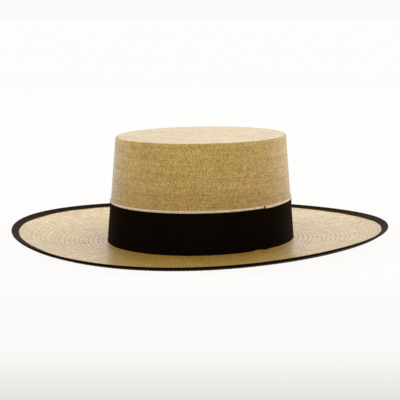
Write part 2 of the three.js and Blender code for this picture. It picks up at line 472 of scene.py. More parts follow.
class Nodes:
    """A short way to write a node tree: each call adds one node and gives back an output."""

    def __init__(self, tree):
        self.tree = tree

    def add(self, kind, inputs=None, out=0, **settings):
        """Adds a node, sets it and its inputs, and gives back one of its outputs."""
        node = self.tree.nodes.new(kind)
        for key, value in settings.items():
            setattr(node, key, value)
        self.fill(node, inputs or {})
        return node.outputs[out]

    def fill(self, node, inputs):
        """Links or sets the named inputs of a node."""
        for key, value in inputs.items():
            if isinstance(value, bpy.types.NodeSocket):
                self.tree.links.new(value, node.inputs[key])
            else:
                node.inputs[key].default_value = value

    def group(self, name, inputs):
        """Places a shared group with its own values, and gives back its outputs."""
        node = self.tree.nodes.new("ShaderNodeGroup")
        node.node_tree = bpy.data.node_groups.get(name) or SHADER_GROUPS[name](name)
        self.fill(node, inputs)
        return node.outputs

    def calc(self, operation, *values):
        """One step of arithmetic."""
        return self.add("ShaderNodeMath", dict(enumerate(values)), operation=operation)

    def times(self, a, b):
        """A product."""
        return self.calc("MULTIPLY", a, b)

    def less(self, a, b):
        """A difference."""
        return self.calc("SUBTRACT", a, b)

    def floor(self, value):
        """A value without what follows the point."""
        return self.calc("FLOOR", value)

    def scaled(self, value, factor, added):
        """A value times a factor, and something added."""
        return self.calc("MULTIPLY_ADD", value, factor, added)

    def rest(self, value):
        """What a share leaves of 1."""
        return self.calc("SUBTRACT", 1, value)

    def arch(self, place):
        """0 at places 0 and 1, and rounded up to 1 between them."""
        centred = self.scaled(place, 2, -1)
        return self.rest(self.times(centred, centred))

    def ramp(self, value, low, high):
        """0 below low, 1 above high, and a smooth step between them."""
        return self.add(
            "ShaderNodeMapRange",
            {"Value": value, "From Min": low, "From Max": high},
            interpolation_type="SMOOTHSTEP",
        )

    def mix(self, factor, a, b):
        """Between two values."""
        return self.add("ShaderNodeMix", {"Factor": factor, 2: a, 3: b}, data_type="FLOAT")

    def blend(self, factor, a, b, how="MIX"):
        """Between two colours."""
        inputs = {"Factor": factor, 6: a, 7: b}
        return self.add("ShaderNodeMix", inputs, out=2, data_type="RGBA", blend_type=how)

    def tinted(self, colour, tint):
        """A colour times another one."""
        return self.blend(1.0, colour, tint, "MULTIPLY")

    def lit(self, colour, light):
        """A colour times a value."""
        return self.tinted(colour, self.join(light, light, light))

    def join(self, x, y, z):
        """A vector of three values."""
        return self.add("ShaderNodeCombineXYZ", {"X": x, "Y": y, "Z": z})

    def split(self, vector):
        """The three values of a vector."""
        return self.add("ShaderNodeSeparateXYZ", {"Vector": vector}).node.outputs

    def place(self):
        """The point's place in Object coordinates."""
        return self.add("ShaderNodeTexCoord", out="Object")

    def chance(self, x, y, seed):
        """A random number that hangs on two numbers, another one for every seed."""
        return self.add("ShaderNodeTexWhiteNoise", {"Vector": self.join(x, y, seed)})

    def noise(self, place, scale, detail=1.0, roughness=0.5):
        """Cloudy noise round 0.5."""
        inputs = {"Vector": place, "Scale": scale, "Detail": detail, "Roughness": roughness}
        return self.add("ShaderNodeTexNoise", inputs)

    def bump(self, strength, distance, height):
        """Normals that a height tilts."""
        inputs = {"Strength": strength, "Distance": distance, "Height": height}
        return self.add("ShaderNodeBump", inputs)


def shader_group(name, inputs, outputs):
    """A node group with named inputs and outputs, as (group, its nodes, its input sockets)."""
    group = bpy.data.node_groups.new(name, "ShaderNodeTree")
    for sockets, side in ((inputs, "INPUT"), (outputs, "OUTPUT")):
        for label, kind in sockets.items():
            group.interface.new_socket(label, in_out=side, socket_type="NodeSocket" + kind)
    entry = group.nodes.new("NodeGroupInput")
    return group, Nodes(group), entry.outputs


def close_group(group, results):
    """Leads the results to the group's outputs, and gives back the group."""
    end = group.nodes.new("NodeGroupOutput")
    Nodes(group).fill(end, results)
    return group


CELLS_PER_ROW = 4
FEWEST_CELLS = 6  # round the innermost row
ROWS_PER_INCREASE = 2  # rows that are woven on the same warp strands before some are added
WEFT_RUN = 46  # cells that one weft strand runs before the next one takes over
RUN_SHIFT = 0.37  # of a run, by which the next row of cells is shifted
FLOAT_SHARE = 0.5  # of a float's own tone, against the tone of its whole strand
FIBRES = (0.4, 6)  # in a cell, along a strand and across it
FIBRE_TONE = 0.5  # by which fibres change the tone
WARP_TONE = -0.05  # of the strands that run across the rows, and the others are as much lighter
BATCH_COLUMNS = (2, 5)  # strands of one batch of straw, on the brim and on the top
BATCH_ROWS = 2
BATCH_SHARES = (0.30, 0.28)  # of the batch's tone, on the brim and on the top
BRIM_EVENNESS = 0.4  # by which the weft strands of the brim share one tone
BROWN_TO_GOLDEN = (0.05, 0.47)  # tones between which the straw turns from brown to golden
GOLDEN_TO_PALE = (0.5, 1.0)
STRAND_EDGE = 0.6  # height below which a strand darkens towards a gap
LINE_START = (0.78, 0.70)  # share of the way to a row's edge, on the crown and on the brim
LINE_FULL = (0.92, 0.86)
EVEN_DARK = 0.15  # share of a dotted line's dark that is the same at all its dots
FADING_ROWS = (2, 22)  # rows of the brim, between which its dotted lines fade
LASTING_DARK = 0.2  # share of their dark that stays
POLISHED = (0.1, 0.9)  # tones between which a strand gains its polish
TOP_EVENNESS = 0.55  # by which the gloss of the top is the same all over
TOP_POLISH = 0.32


def herringbone_group(name):
    """A two-over-two weave of straw strands that leans the other way in every row."""
    group, n, entry = shader_group(
        name,
        {
            "Cells": "Vector", "Pale": "Color", "Golden": "Color", "Brown": "Color",
            "Gap": "Color", "Gap Shade": "Float", "Crown Line": "Float", "Brim Line": "Float",
            "Top Rows": "Float", "Crown Rows": "Float",
        },
        {"Color": "Color", "Roughness": "Float", "Height": "Float", "Shine": "Float"},
    )
    u, v, _ = n.split(entry["Cells"])
    column, row_cell = n.floor(u), n.floor(v)
    in_u, in_v = n.calc("FRACT", u), n.calc("FRACT", v)
    row_place = n.calc("DIVIDE", v, CELLS_PER_ROW)
    row, in_row = n.floor(row_place), n.calc("FRACT", row_place)
    on_brim = n.calc("GREATER_THAN", row, n.less(entry["Crown Rows"], 0.5))
    on_top = n.calc("LESS_THAN", row, n.less(entry["Top Rows"], 0.5))

    # Where the point lies on the strand that is on top here, which floats over two cells
    lean = n.scaled(n.calc("FLOORED_MODULO", row, 2), -2, 1)
    step = n.calc("FLOORED_MODULO", n.scaled(row_cell, lean, column), CELLS_PER_ROW)
    upright = n.calc("LESS_THAN", step, 1.5)
    weft_along = n.calc("DIVIDE", n.calc("ADD", n.less(step, 2), in_u), 2)
    warp_step = n.scaled(step, lean, n.scaled(lean, -0.5, 0.5))
    warp_along = n.calc("DIVIDE", n.calc("ADD", warp_step, in_v), 2)
    along = n.mix(upright, weft_along, warp_along)
    across = n.mix(upright, in_v, in_u)
    dips = n.scaled(n.arch(along), 0.7, 0.3)
    height = n.times(n.calc("SQRT", n.arch(across)), dips)

    # Each strand has its own tone, and each float a little of its own with fibres along it
    run = n.floor(n.scaled(row_cell, RUN_SHIFT, n.calc("DIVIDE", u, WEFT_RUN)))
    weft_tone = n.mix(n.times(on_brim, BRIM_EVENNESS), n.chance(row_cell, run, 13), 0.5)
    strand_tone = n.mix(upright, weft_tone, n.chance(column, row, 7))
    weft_float = n.chance(n.less(column, step), row_cell, 3)
    warp_float = n.chance(column, n.less(row_cell, warp_step), 4)
    float_tone = n.mix(upright, weft_float, warp_float)
    few, many = FIBRES
    fibre_u = n.times(u, n.mix(upright, few, many))
    fibre_v = n.times(v, n.mix(upright, many, few))
    fibres = n.noise(n.join(fibre_u, fibre_v, float_tone), 1.0)
    tone = n.mix(FLOAT_SHARE, strand_tone, float_tone)
    tone = n.calc("ADD", tone, n.scaled(upright, 2 * WARP_TONE, -WARP_TONE))
    tone = n.calc("ADD", tone, n.scaled(fibres, FIBRE_TONE, -FIBRE_TONE / 2))

    # On the brim and the top, strands of one batch of straw have some tone in common
    batch_column = n.floor(n.calc("DIVIDE", column, n.mix(on_top, *BATCH_COLUMNS)))
    batch_row = n.floor(n.calc("DIVIDE", row, BATCH_ROWS))
    brim_share, top_share = BATCH_SHARES
    batch_share = n.scaled(on_top, top_share, n.times(on_brim, brim_share))
    tone = n.mix(batch_share, tone, n.chance(batch_column, batch_row, 17))
    shade = n.blend(n.ramp(tone, *BROWN_TO_GOLDEN), entry["Brown"], entry["Golden"])
    shade = n.blend(n.ramp(tone, *GOLDEN_TO_PALE), shade, entry["Pale"])

    # Painted shade in the gaps between strands, where their rounded edges dip, and the dotted line
    # where two rows meet
    gap = n.times(n.rest(n.ramp(height, 0.0, STRAND_EDGE)), entry["Gap Shade"])
    from_middle = n.calc("ABSOLUTE", n.scaled(in_row, 2, -1))
    line = n.ramp(from_middle, n.mix(on_brim, *LINE_START), n.mix(on_brim, *LINE_FULL))
    dot = n.ramp(n.chance(column, row, 21), 0.25, 0.75)
    dotted = n.times(line, n.scaled(dot, 1 - EVEN_DARK, EVEN_DARK))
    rows_out = n.less(row, entry["Crown Rows"])
    fading = n.rest(n.ramp(rows_out, *FADING_ROWS))
    brim_shade = n.times(entry["Brim Line"], n.scaled(fading, 1 - LASTING_DARK, LASTING_DARK))
    row_shade = n.mix(on_brim, entry["Crown Line"], brim_shade)
    dark = n.calc("MAXIMUM", gap, n.times(dotted, row_shade))

    # Pale strands are the more polished, and gaps not at all
    polish = n.mix(n.times(on_top, TOP_EVENNESS), n.ramp(tone, *POLISHED), TOP_POLISH)
    return close_group(group, {
        "Color": n.blend(dark, shade, entry["Gap"]),
        "Roughness": n.scaled(dark, 0.5, n.times(tone, 0.1)),
        "Height": n.less(height, n.times(dotted, 0.5)),
        "Shine": n.times(polish, n.rest(dark)),
    })


THREAD_WAVES = 300  # of the fine threads that cross the ribs, in radians over the ribbon
THREAD_HEIGHT = 0.08  # against a rib's


def grosgrain_group(name):
    """Ribbon with fine ribs across it, and painted shade in the grooves between them. U counts the
    ribs and V runs from edge to edge.
    """
    group, n, entry = shader_group(
        name,
        {"Ribs": "Vector", "Color": "Color", "Groove Shade": "Float"},
        {"Color": "Color", "Height": "Float"},
    )
    u, v, _ = n.split(entry["Ribs"])
    rib = n.arch(n.calc("FRACT", u))
    thread = n.calc("SINE", n.times(v, THREAD_WAVES))
    rib_tone = n.scaled(n.chance(n.floor(u), 0, 5), 0.3, 0.85)
    # Each rib's own random tone, times the painted shade in the grooves between the ribs
    groove_shade = n.times(n.rest(rib), entry["Groove Shade"])
    light = n.times(rib_tone, n.rest(groove_shade))
    return close_group(group, {
        "Color": n.lit(entry["Color"], light),
        "Height": n.scaled(thread, THREAD_HEIGHT, rib),
    })


def mottle_group(name):
    """Slow, cloudy changes of tone and tint over a surface."""
    group, n, entry = shader_group(
        name, {"Color": "Color", "Size": "Float", "Amount": "Float"}, {"Color": "Color"}
    )
    place = n.place()
    cloud = n.noise(place, entry["Size"], detail=4.0, roughness=0.8)
    swing = n.times(n.scaled(cloud, 2, -1), entry["Amount"])
    toned = n.lit(entry["Color"], n.calc("ADD", 1, swing))
    tint = n.noise(place, n.times(entry["Size"], 3))
    warm, cool = (1.02, 0.985, 0.95, 1), (0.98, 1.01, 1.02, 1)
    cast = n.blend(n.ramp(tint, 0.35, 0.65), warm, cool)
    return close_group(group, {"Color": n.tinted(toned, cast)})


SHADER_GROUPS = {
    "herringbone_straw": herringbone_group,
    "grosgrain_ribbon": grosgrain_group,
    "mottle": mottle_group,
}


def new_material(name):
    """An empty material, as (material, its nodes, its surface shader)."""
    material = bpy.data.materials.new(name)
    material.use_nodes = True
    tree = material.node_tree
    tree.nodes.clear()
    shader = tree.nodes.new("ShaderNodeBsdfPrincipled")
    end = tree.nodes.new("ShaderNodeOutputMaterial")
    tree.links.new(shader.outputs["BSDF"], end.inputs["Surface"])
    return material, Nodes(tree), shader


UNDER_BAND = (25 * MM, 38 * MM)  # heights, unseen under the band, between which the brim's painted shade gives way to the crown's
LOW_CROWN_SHADE_HEIGHTS = (38 * MM, 85 * MM)  # heights between which the painted shade low on the crown fades
BAND_FOOT_SHADE_REACH = (2 * MM, 45 * MM)  # distances from the crown between which the painted shade on the brim fades


def straw_material(sizes, foot, look, top_rows, crown_rows):
    """Natural straw with a slight gloss, with painted shade on the crown just above the band and on
    the brim round the band's foot.
    """
    material, n, shader = new_material("straw")
    weave = n.group("herringbone_straw", {
        "Cells": n.add("ShaderNodeUVMap", uv_map="weave"),
        "Pale": (*look.pale, 1),
        "Golden": (*look.golden, 1),
        "Brown": (*look.brown, 1),
        "Gap": (*look.gap, 1),
        "Gap Shade": look.gap_shade,
        "Crown Line": look.crown_line,
        "Brim Line": look.brim_line,
        "Top Rows": top_rows,
        "Crown Rows": crown_rows,
    })
    toned = n.group("mottle", {"Color": weave["Color"], "Size": 30.0, "Amount": 0.3})["Color"]
    place = n.place()
    _, _, height = n.split(place)
    # Painted shade: the crown is darker just above the band and lighter upwards, where the brim
    # shades it
    on_crown = n.ramp(height, *UNDER_BAND)
    low = n.rest(n.ramp(height, *LOW_CROWN_SHADE_HEIGHTS))
    low_crown_shade = n.tinted(toned, (*look.low_crown_shade, 1))
    crown_shaded = n.blend(n.times(on_crown, low), toned, low_crown_shade)
    round_again = (1 / sizes.across, 1 / sizes.along, 0)
    plan = n.add("ShaderNodeVectorMath", {0: place, 1: round_again}, operation="MULTIPLY")
    reach = n.add("ShaderNodeVectorMath", {0: plan}, out="Value", operation="LENGTH")
    # Painted shade: the brim is darkest next to the band's foot and lighter outwards
    near_band = n.rest(n.ramp(reach, *(foot + away for away in BAND_FOOT_SHADE_REACH)))
    band_foot_shade = n.tinted(crown_shaded, (*look.band_foot_shade, 1))
    n.fill(shader, {
        "Base Color": n.blend(n.times(near_band, n.rest(on_crown)), crown_shaded, band_foot_shade),
        "Roughness": n.calc("ADD", weave["Roughness"], look.roughness),
        "Normal": n.bump(strength=0.35, distance=0.12 * MM, height=weave["Height"]),
        "Specular IOR Level": 0.65,
        "Specular Tint": (1, 0.975, 0.91, 1),
        "Coat Weight": n.calc("ADD", weave["Shine"], look.coat),
        "Coat Roughness": 0.3,
    })
    return material


def ribbon_material(name, look, tint, groove_shade, rib_depth, gloss=0.0, sheen=0.0, nap=(1, 1, 1)):
    """Grosgrain in one colour. nap is the tint of its sheen."""
    material, n, shader = new_material(name)
    ribs = n.add("ShaderNodeUVMap", uv_map="ribs")
    ribbon = n.group(
        "grosgrain_ribbon", {"Ribs": ribs, "Color": (*tint, 1), "Groove Shade": groove_shade}
    )
    toned = n.group("mottle", {"Color": ribbon["Color"], "Size": 40.0, "Amount": 0.25})
    n.fill(shader, {
        "Base Color": toned["Color"],
        "Normal": n.bump(strength=0.6, distance=rib_depth, height=ribbon["Height"]),
        "Roughness": look.roughness,
        "Specular IOR Level": gloss,
        "Sheen Weight": sheen,
        "Sheen Roughness": 0.3,
        "Sheen Tint": (*nap, 1),
    })
    return material


def thread_material(look):
    """Black sewing thread."""
    material, n, shader = new_material("black_thread")
    toned = n.group("mottle", {"Color": (*look.black, 1), "Size": 400.0, "Amount": 0.5})
    fibres = n.noise(n.place(), 6000.0)
    n.fill(shader, {
        "Base Color": toned["Color"],
        "Normal": n.bump(strength=0.5, distance=0.05 * MM, height=fibres),
        "Roughness": 0.5,
        "Specular IOR Level": 0.15,
    })
    return material


# ---------------------------------------------------------------------------- pieces


def hat_settings(context):
    """The blocked hat, and the looks of its straw and of its ribbons."""
    scene = context.scene
    return Block(scene.hat_block, scene.straw_look), scene.straw_look, scene.ribbon_look


TOP_BEND_STEPS, FOOT_BEND_STEPS = 6, 5
BRIM_STEPS = 40
ROW_MARKS = (0, 0.3, 0.7)  # of a row's width, where the straw has a ring of vertices
NEAREST_MARKS = 0.25 * MM


class CORDOBES_OT_straw(bpy.types.Operator):
    """Weaves the crown and the brim in one piece and presses them to shape"""

    bl_idname = "cordobes.straw"
    bl_label = "Crown and Brim"

    def execute(self, context):
        block, look, _ = hat_settings(context)
        lengths, section, rows, top_rows, crown_rows = self.section(block, look)
        piece = turned_piece("woven_straw", section, look.steps)
        face_outwards(piece, lambda centres: centres * (1, 1, 0) + (0, 0, MM))
        self.lay_weave(piece, look, section, lengths, rows)
        move_points(piece, block.press(points_of(piece)))
        give_wall(piece, look.thickness, 0)
        material = straw_material(block.sizes, block.foot, look, top_rows, crown_rows)
        finish_piece(piece, material, "crown_and_brim", math.radians(50))
        return {"FINISHED"}

    def middle_line(self, block, look):
        """The middle of the straw: the crown from its axis to the brim, and the curled brim."""
        sizes = block.sizes
        centre, top_corner = (0, block.top), (block.top_radius, block.top)
        foot_corner, flat_end = (block.foot, block.brim_level), (block.edge, block.brim_level)
        crown = [
            centre,
            *bend(top_corner, centre, foot_corner, sizes.top_bend, TOP_BEND_STEPS),
            *bend(foot_corner, top_corner, flat_end, sizes.foot_bend, FOOT_BEND_STEPS),
        ]
        flat_stop = block.brim_start + sizes.brim_width * sizes.flat_share
        curled = [
            (radius, float(block.brim_height(radius)))
            for radius in np.linspace(flat_stop, block.edge - look.edge_inset, BRIM_STEPS)
        ]
        return crown, curled

    def section(self, block, look):
        """Points along the middle line, three to a woven row, with their lengths and rows."""
        crown, curled = self.middle_line(block, look)
        line = np.array(crown + curled)
        at = lengths_along(line)
        foot_at = at[len(crown) - 1]
        edges = []
        for start, stop, row in ((0, foot_at, look.crown_row), (foot_at, at[-1], look.brim_row)):
            rows = max(1, round((stop - start) / row))
            edges.extend(np.linspace(start, stop, rows + 1)[:-1])
        edges = np.array(edges + [at[-1]])
        marks = [edges[-1]]
        for low, high in zip(edges, edges[1:]):
            marks.extend(low + (high - low) * part for part in ROW_MARKS)
        for bent in at[1:len(crown)]:
            if min(abs(bent - mark) for mark in marks) > NEAREST_MARKS:
                marks.append(bent)
        marks = np.array(sorted(marks))
        radii = np.interp(marks, at, line[:, 0])
        heights = np.interp(marks, at, line[:, 1])
        row_at = np.searchsorted(edges, marks + ROUNDING) - 1
        row_share = (marks - edges[row_at]) / np.diff(np.append(edges, edges[-1] + 1))[row_at]
        swell = look.relief * np.sin(math.pi * np.clip(row_share, 0, 1)) ** 0.5
        slope_r = np.gradient(radii, marks)
        slope_z = np.gradient(heights, marks)
        radii = radii - slope_z * swell
        heights = heights + slope_r * swell
        radii[0] = 0
        crown_rows = int(np.searchsorted(edges, foot_at - ROUNDING))
        top_rows = int(np.searchsorted(edges, block.top_radius - block.sizes.top_bend))
        return marks, list(zip(radii, heights)), edges, top_rows, crown_rows

    def lay_weave(self, piece, look, section, lengths, edges):
        """Counts the woven cells along and across every row of the straw."""
        loops, faces = corner_table(piece)
        along = lengths[nearest_station(points_of(piece), section)][loops]
        row = np.clip(np.searchsorted(edges, face_means(along, faces)) - 1, 0, len(edges) - 2)
        first = np.arange(len(edges) - 1) // ROWS_PER_INCREASE * ROWS_PER_INCREASE
        middle_row = np.minimum(first + ROWS_PER_INCREASE // 2, len(edges) - 2)
        reach = np.interp(edges[middle_row], lengths, np.array(section)[:, 0])
        cells = np.maximum(FEWEST_CELLS, np.round(FULL_TURN * reach / look.strand))
        in_row = (along - edges[row]) / np.diff(edges)[row]
        turns = corner_turns(piece, loops, faces)
        lay_pattern(piece, "weave", turns * cells[row], (row + in_row) * CELLS_PER_ROW)


FLAT_POINTS = 6  # across each flat side of the folded ribbon
FOLD_STEPS = 6
# How the binding's edges wander: waves round the hat, their shift between the upper and the
# lower edge, and their reach in wavers
WAVES = ((7, 1, 1), (13, 2, 0.7), (31, 4, 0.5))
WIDER_SIDE = (3.75, 0.4)  # the turn of the side where it is widest, and by how many wavers
# Where the ribbon is folded wider: turn, reach to each side, and how many wavers wider
WIDE_PLACES = ((0.9, 0.29, 5.2), (4.0, 0.36, 5.2), (3.32, 0.12, -2.0))


class CORDOBES_OT_binding(bpy.types.Operator):
    """Folds the black ribbon over the edge of the brim"""

    bl_idname = "cordobes.binding"
    bl_label = "Brim Binding"

    def execute(self, context):
        block, straw, look = hat_settings(context)
        section = self.section(block, straw, look)
        piece = turned_piece("folded_binding", section, look.binding_steps)
        face_outwards(piece, lambda centres: self.outwards(block, centres))
        self.lay_ribs(piece, block, section, look)
        self.waver_edges(piece, block, look)
        move_points(piece, block.press(points_of(piece)))
        give_wall(piece, look.thickness, -1)
        material = ribbon_material(
            "binding_ribbon", look, look.brown_black, groove_shade=0.5, rib_depth=0.12 * MM,
            sheen=0.2, nap=(1.0, 0.82, 0.72),
        )
        finish_piece(piece, material, "brim_binding", math.radians(50))
        return {"FINISHED"}

    def section(self, block, straw, look):
        """Outside of the folded ribbon, from its lower edge round to its upper edge."""
        off = straw.thickness / 2 + look.loose + look.thickness
        inner = block.edge - look.binding_width
        turn = block.edge - off
        radii = np.linspace(inner, turn, FLAT_POINTS)
        below = [block.brim_point(radius, -off) for radius in radii]
        above = [block.brim_point(radius, off) for radius in radii[::-1]]
        centre = Vector(block.brim_point(turn))
        start = Vector(below[-1]) - centre
        fold = []
        for i in range(1, FOLD_STEPS):
            tilt = math.pi * i / FOLD_STEPS
            fold.append((
                centre.x + start.x * math.cos(tilt) - start.y * math.sin(tilt),
                centre.y + start.x * math.sin(tilt) + start.y * math.cos(tilt),
            ))
        return below + fold + above

    def waver_edges(self, piece, block, look):
        """Lets the two edges of the ribbon wander a little, as hands leave them.

        Where wander is positive, the edges move outwards and the ribbon is narrower.
        """
        points = points_of(piece)
        radius, turn = polar(points)
        side = np.sign(points[:, 2] - block.brim_height(radius))
        widest, wider = WIDER_SIDE
        wander = -wider * np.cos(turn - widest)
        for waves, shift, reach in WAVES:
            wander += reach * np.sin(waves * turn + shift * side)
        for place, reach, extra in WIDE_PLACES:
            away = (turn - place + math.pi) % FULL_TURN - math.pi
            wander -= extra * np.exp(-np.square(away / reach))
        edge_share = np.clip((block.edge - radius) / look.binding_width, 0, 1) ** 2
        scale = 1 + look.waver * wander * edge_share / radius
        points[:, :2] *= scale[:, None]
        move_points(piece, points)

    def outwards(self, block, centres):
        """Directions away from the middle of the straw near the brim's edge."""
        radius, _ = polar(centres)
        side = centres[:, 2] - block.brim_height(radius)
        return np.column_stack((np.zeros(len(centres)), np.zeros(len(centres)), side))

    def lay_ribs(self, piece, block, section, look):
        """Counts the ribs round the brim; V is 0 at the lower edge and 1 at the upper."""
        loops, faces = corner_table(piece)
        at = lengths_along(np.array(section))
        across = (at / at[-1])[nearest_station(points_of(piece), section)][loops]
        ribs = round(FULL_TURN * block.edge / look.rib)
        lay_pattern(piece, "ribs", corner_turns(piece, loops, faces) * ribs, across)


STITCH_CLEAR = 0.03 * MM  # from the ribbon to the middle of the thread where it dips


class CORDOBES_OT_binding_stitches(bpy.types.Operator):
    """Sews the binding to the straw with a row of stitches above and one below"""

    bl_idname = "cordobes.binding_stitches"
    bl_label = "Binding Stitches"

    def execute(self, context):
        block, straw, look = hat_settings(context)
        for name, side in (("upper_stitches", 1), ("lower_stitches", -1)):
            self.sew_row(name, block, straw, look, side)
        return {"FINISHED"}

    def sew_row(self, name, block, straw, look, side):
        """Models one stitch near the ribbon's edge and copies it round the brim."""
        radius = block.edge - look.binding_width + look.stitch_inset
        off = side * (straw.thickness / 2 + look.loose + look.thickness + STITCH_CLEAR)
        x, z = block.brim_point(radius, off)
        inside_x, inside_z = block.brim_point(radius)
        piece = stitch_piece(
            name, (x, 0, z), (x - inside_x, 0, z - inside_z), (0, 1, 0), look.stitch, look.thread
        )
        copies = round(FULL_TURN * radius / (look.stitch + look.stitch_gap))
        bpy.ops.mesh.select_all(action="SELECT")
        bpy.ops.mesh.spin(
            steps=copies - 1, dupli=True, angle=FULL_TURN * (copies - 1) / copies,
            center=(0, 0, 0), axis=(0, 0, 1),
        )
        close_piece()
        move_points(piece, block.press(points_of(piece)))
        dress_piece(piece, thread_material(look), math.radians(60))


def wall_strip(name, block, look, path, heights, profile):
    """A strip that stands against the crown's wall, as (piece, its points before they are pressed).

    path gives rows along the strip: the turn, the stand-off, how far the strip sinks there
    and how far its upper edge rises. profile gives the extra stand-off at each height.
    """
    plan = []
    for turn, off, _, _ in path:
        radius = block.foot + off
        plan.append((radius * math.cos(turn), radius * math.sin(turn)))
    piece = raised_piece(name, plan, heights)
    count_ribs(piece, look, len(path), heights)
    points = points_of(piece)
    radius, _ = polar(points)
    lean = block.foot - block.wall_radius(points[:, 2])
    extra = np.interp(points[:, 2], heights, profile)
    scale = (radius - lean + extra) / radius
    points[:, :2] *= scale[:, None]
    column = np.arange(len(points)) % len(path)
    sunk, raised = np.array(path)[column, 2:].T
    top_share = np.clip((points[:, 2] - heights[-3]) / (heights[-1] - heights[-3]), 0, 1)
    points[:, 2] += raised * top_share - sunk
    points[:, 2] += look.tilt * points[:, 0] / block.foot
    return piece, points


def lowered_edges(box, lower):
    """Heights of a strip's lower and upper edge, each a little lower than the solid's."""
    return box[0].z - lower[0], box[1].z - lower[1]


def count_ribs(piece, look, columns, heights):
    """U counts the ribs along the ribbon, and V runs from its lower to its upper edge."""
    loops, _ = corner_table(piece)
    points = points_of(piece)
    column = np.arange(len(points)) % columns
    u = lengths_along(points[:columns, :2])[column][loops] / look.rib
    v = (points[loops, 2] - heights[0]) / (heights[-1] - heights[0])
    lay_pattern(piece, "ribs", u, v)


def stand_strip(piece, points, block, thickness):
    """Presses a strip to the hat's oval and gives it its wall."""
    move_points(piece, block.press(points))
    face_outwards(piece, lambda centres: centres * (1, 1, 0))
    give_wall(piece, thickness, 0)


def smooth(value):
    """Smooth step from 0 to 1."""
    return value * value * (3 - 2 * value)


SINK_STEP, SINK_LEVEL, SINK_END = 1.2, 3, 20  # in degrees past the lap
LIFT_MIDDLE, LIFT_REACH = 6.5, 4.5  # in degrees before the lap


def sunk_start(turn, lap_angle, depth):
    """How far the lower end's upper edge sinks just past the lap, from where it rises slowly."""
    past = math.degrees(turn - lap_angle)
    if past < 0 or past > SINK_END:
        return 0.0
    risen = smooth(max(0, past - SINK_LEVEL) / (SINK_END - SINK_LEVEL))
    return depth * smooth(min(1, past / SINK_STEP)) * (1 - risen)


def lifted_before_lap(turn, look):
    """How far both layers of the band stand higher at their lower edge just before the lap."""
    away = math.degrees(look.lap_angle - turn) % 360 - LIFT_MIDDLE
    return look.lift * math.exp(-((away / LIFT_REACH) ** 2))


BAND_LOWER = (0.5 * MM, 0.2 * MM)  # than the solid's, at the lower and the upper edge
BAND_CLEAR = 0.02 * MM  # between the straw and the ribbon
# The band's rows of vertices: the low ones in millimetres above its lower edge, the first of
# the others above it, the last one's distance from the upper edge, and how many they are
LOW_ROWS, HIGH_ROWS = (0, 0.6, 1.4, 3), (8, 1.2, 6)
STAND_OFFS = (0.05, 0, 0, 0, 0, 0, 0, 0, 0.1, 0.35, 0.5)  # of each row, in millimetres
LAYER = 1.12  # ribbon thicknesses from one layer to the next
HIDDEN_COLUMNS, LAP_COLUMNS, ROUND_COLUMNS, CLIMB_COLUMNS = 10, 8, 176, 8
LAP_FINE = math.radians(3)  # past the lap, where the columns are close together
CLIMB_START = 1.6  # hems before the lap, where the ribbon starts to climb over its own hem
CLIMB_HASTE = 1.5
# The hem at the lap: millimetres past it, layers of ribbon out from the crown, share of the tab
HEM_ROWS = (
    (-0.85, 2, 0), (-0.55, 2, 1), (0, 2, 1), (0.25, 1.5, 1), (0, 1.02, 1), (-0.55, 1.02, 1),
    (-0.85, 1.02, 0),
)


class CORDOBES_OT_band(bpy.types.Operator):
    """Lays the black ribbon round the foot of the crown and laps its upper end"""

    bl_idname = "cordobes.band"
    bl_label = "Hat Band"

    def execute(self, context):
        block, straw, look = hat_settings(context)
        bottom, top = lowered_edges(BAND_BOX, BAND_LOWER)
        heights = [bottom + up * MM for up in LOW_ROWS]
        first, below_top, rows = HIGH_ROWS
        heights += list(np.linspace(bottom + first * MM, top - below_top * MM, rows)) + [top]
        profile = [off * MM for off in STAND_OFFS]
        path = self.path(block, straw, look)
        piece, points = wall_strip("black_band", block, look, path, heights, profile)
        stand_strip(piece, points, block, look.thickness)
        material = ribbon_material(
            "band_ribbon", look, look.black, groove_shade=0.35, rib_depth=0.08 * MM,
            sheen=0.065, nap=(1.0, 0.7, 0.62),
        )
        finish_piece(piece, material, "hat_band", math.radians(40))
        return {"FINISHED"}

    def path(self, block, straw, look):
        """Rows of the strip along the band: its lower end, once round, the lap and the hem."""
        start, stop = look.lap_angle - look.lap_hidden, look.lap_angle + FULL_TURN
        past_lap = look.lap_angle + LAP_FINE
        layer = look.thickness * LAYER
        lowest = straw.thickness / 2 + straw.relief + layer / 2 + BAND_CLEAR
        hem_turn = look.hem / block.foot
        step = MM / block.foot
        turns = list(np.linspace(start, look.lap_angle, HIDDEN_COLUMNS))
        turns += list(np.linspace(look.lap_angle, past_lap, LAP_COLUMNS))[1:]
        turns += list(np.linspace(past_lap, stop - hem_turn * CLIMB_START, ROUND_COLUMNS))[1:]
        path = []
        for turn in turns:
            climb = np.interp(turn, (stop - look.lap_hidden * 2, stop - look.lap_hidden), (0, 1))
            sunk = sunk_start(turn, look.lap_angle, look.sunk)
            lift = lifted_before_lap(turn, look)
            path.append((turn, lowest + layer * smooth(climb), -lift, -lift - sunk))
        for part in np.linspace(0, 1, CLIMB_COLUMNS)[1:-1]:
            turn = stop - hem_turn * CLIMB_START * (1 - part)
            layers = 1 + smooth(min(1, part * CLIMB_HASTE))
            lift = lifted_before_lap(turn, look)
            path.append((turn, lowest + layer * layers, -lift, -lift))
        for past, layers, tab in HEM_ROWS:
            path.append((stop + past * step, lowest + layer * layers, 0, look.tab * tab))
        lift = lifted_before_lap(stop - hem_turn, look)
        path.append((stop - hem_turn, lowest + layer * HEM_ROWS[-1][1], -lift, -lift))
        return path


PIPING_LOWER = (0.5 * MM, 0.4 * MM)  # than the solid's, at the lower and the upper edge
PIPING_OFF = 0.3 * MM  # from the straw to the middle of the tape
PIPING_ROWS, PIPING_COLUMNS = 6, 200
HALF_GAP = math.radians(0.5)


